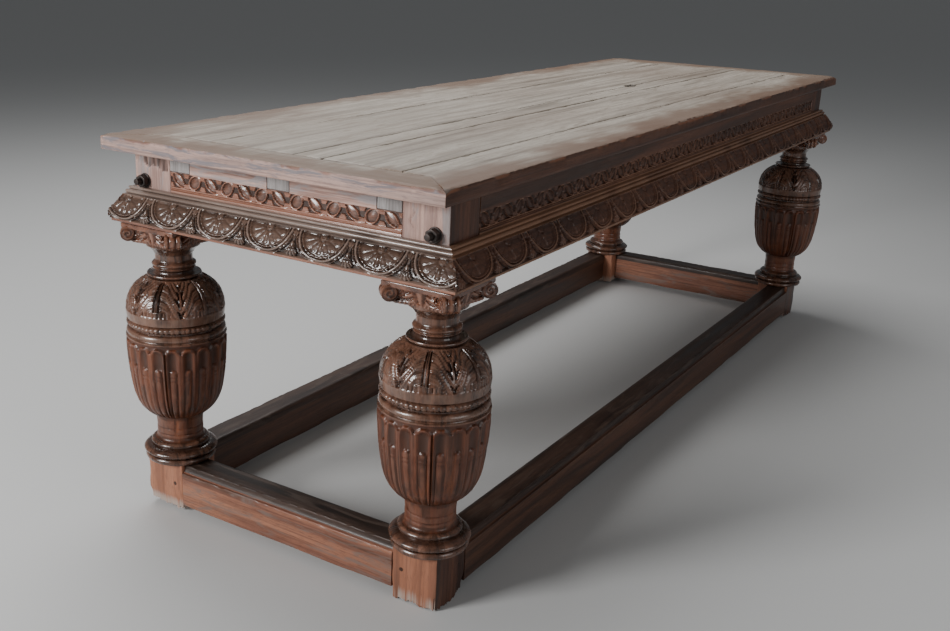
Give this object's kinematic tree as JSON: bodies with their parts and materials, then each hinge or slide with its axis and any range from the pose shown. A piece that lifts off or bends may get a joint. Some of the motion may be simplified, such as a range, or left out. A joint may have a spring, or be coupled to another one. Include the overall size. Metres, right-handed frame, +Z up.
{
  "type": "communion table",
  "caption": "Long joined oak table with a clamped board top, carved frieze and moulding, carved cup-and-cover legs and low stretchers.",
  "frame": {"origin": "on the floor, below the middle of the top", "axes": "+X along the table, +Y from the front side rail to the back one, +Z up"},
  "size_m": [2.55, 0.894, 0.85],
  "materials": {
    "top": "worn, dull, grey-brown oak boards",
    "leg": "waxed dark red-brown oak, carved and turned",
    "end_face": "worn pinkish-brown oak, nearly bare, with a dark waxed carved band",
    "frame": "waxed dark brown oak",
    "moulding": "waxed dark brown oak with polished high spots",
    "patch": "paler bare oak let into old slots",
    "peg": "dark oak end grain, flush",
    "iron": "blackened wrought iron"
  },
  "bodies": {
    "root": {"board_front": "top", "board_front_middle": "top", "board_narrow": "top", "board_back_middle": "top", "board_back": "top", "clamp_left": "top", "clamp_right": "top", "leg_front_left": "leg", "leg_front_right": "leg", "leg_back_left": "leg", "leg_back_right": "leg", "end_rail_left": "end_face", "end_rail_right": "end_face", "side_rail_front": "frame", "side_rail_back": "frame", "cross_bearer": "frame", "slot_patch_left_front": "patch", "slot_patch_left_middle": "patch", "slot_patch_left_back": "patch", "slot_patch_right_front": "patch", "slot_patch_right_middle": "patch", "slot_patch_right_back": "patch", "moulding_front": "moulding", "moulding_back": "moulding", "moulding_left": "moulding", "moulding_right": "moulding", "stretcher_front": "frame", "stretcher_back": "frame", "stretcher_left": "frame", "stretcher_right": "frame", "peg_end_rail_front_left": "peg", "peg_side_rail_front_left": "peg", "peg_end_stretcher_front_left": "peg", "peg_side_stretcher_front_left": "peg", "peg_end_rail_front_right": "peg", "peg_side_rail_front_right": "peg", "peg_end_stretcher_front_right": "peg", "peg_side_stretcher_front_right": "peg", "peg_end_rail_back_left": "peg", "peg_side_rail_back_left": "peg", "peg_end_stretcher_back_left": "peg", "peg_side_stretcher_back_left": "peg", "peg_end_rail_back_right": "peg", "peg_side_rail_back_right": "peg", "peg_end_stretcher_back_right": "peg", "peg_side_stretcher_back_right": "peg", "bolt_front_left": "iron", "washer_front_left": "iron", "nut_front_left": "iron", "bolt_front_right": "iron", "washer_front_right": "iron", "nut_front_right": "iron", "bolt_back_left": "iron", "washer_back_left": "iron", "nut_back_left": "iron", "bolt_back_right": "iron", "washer_back_right": "iron", "nut_back_right": "iron"}
  },
  "joints": []
}
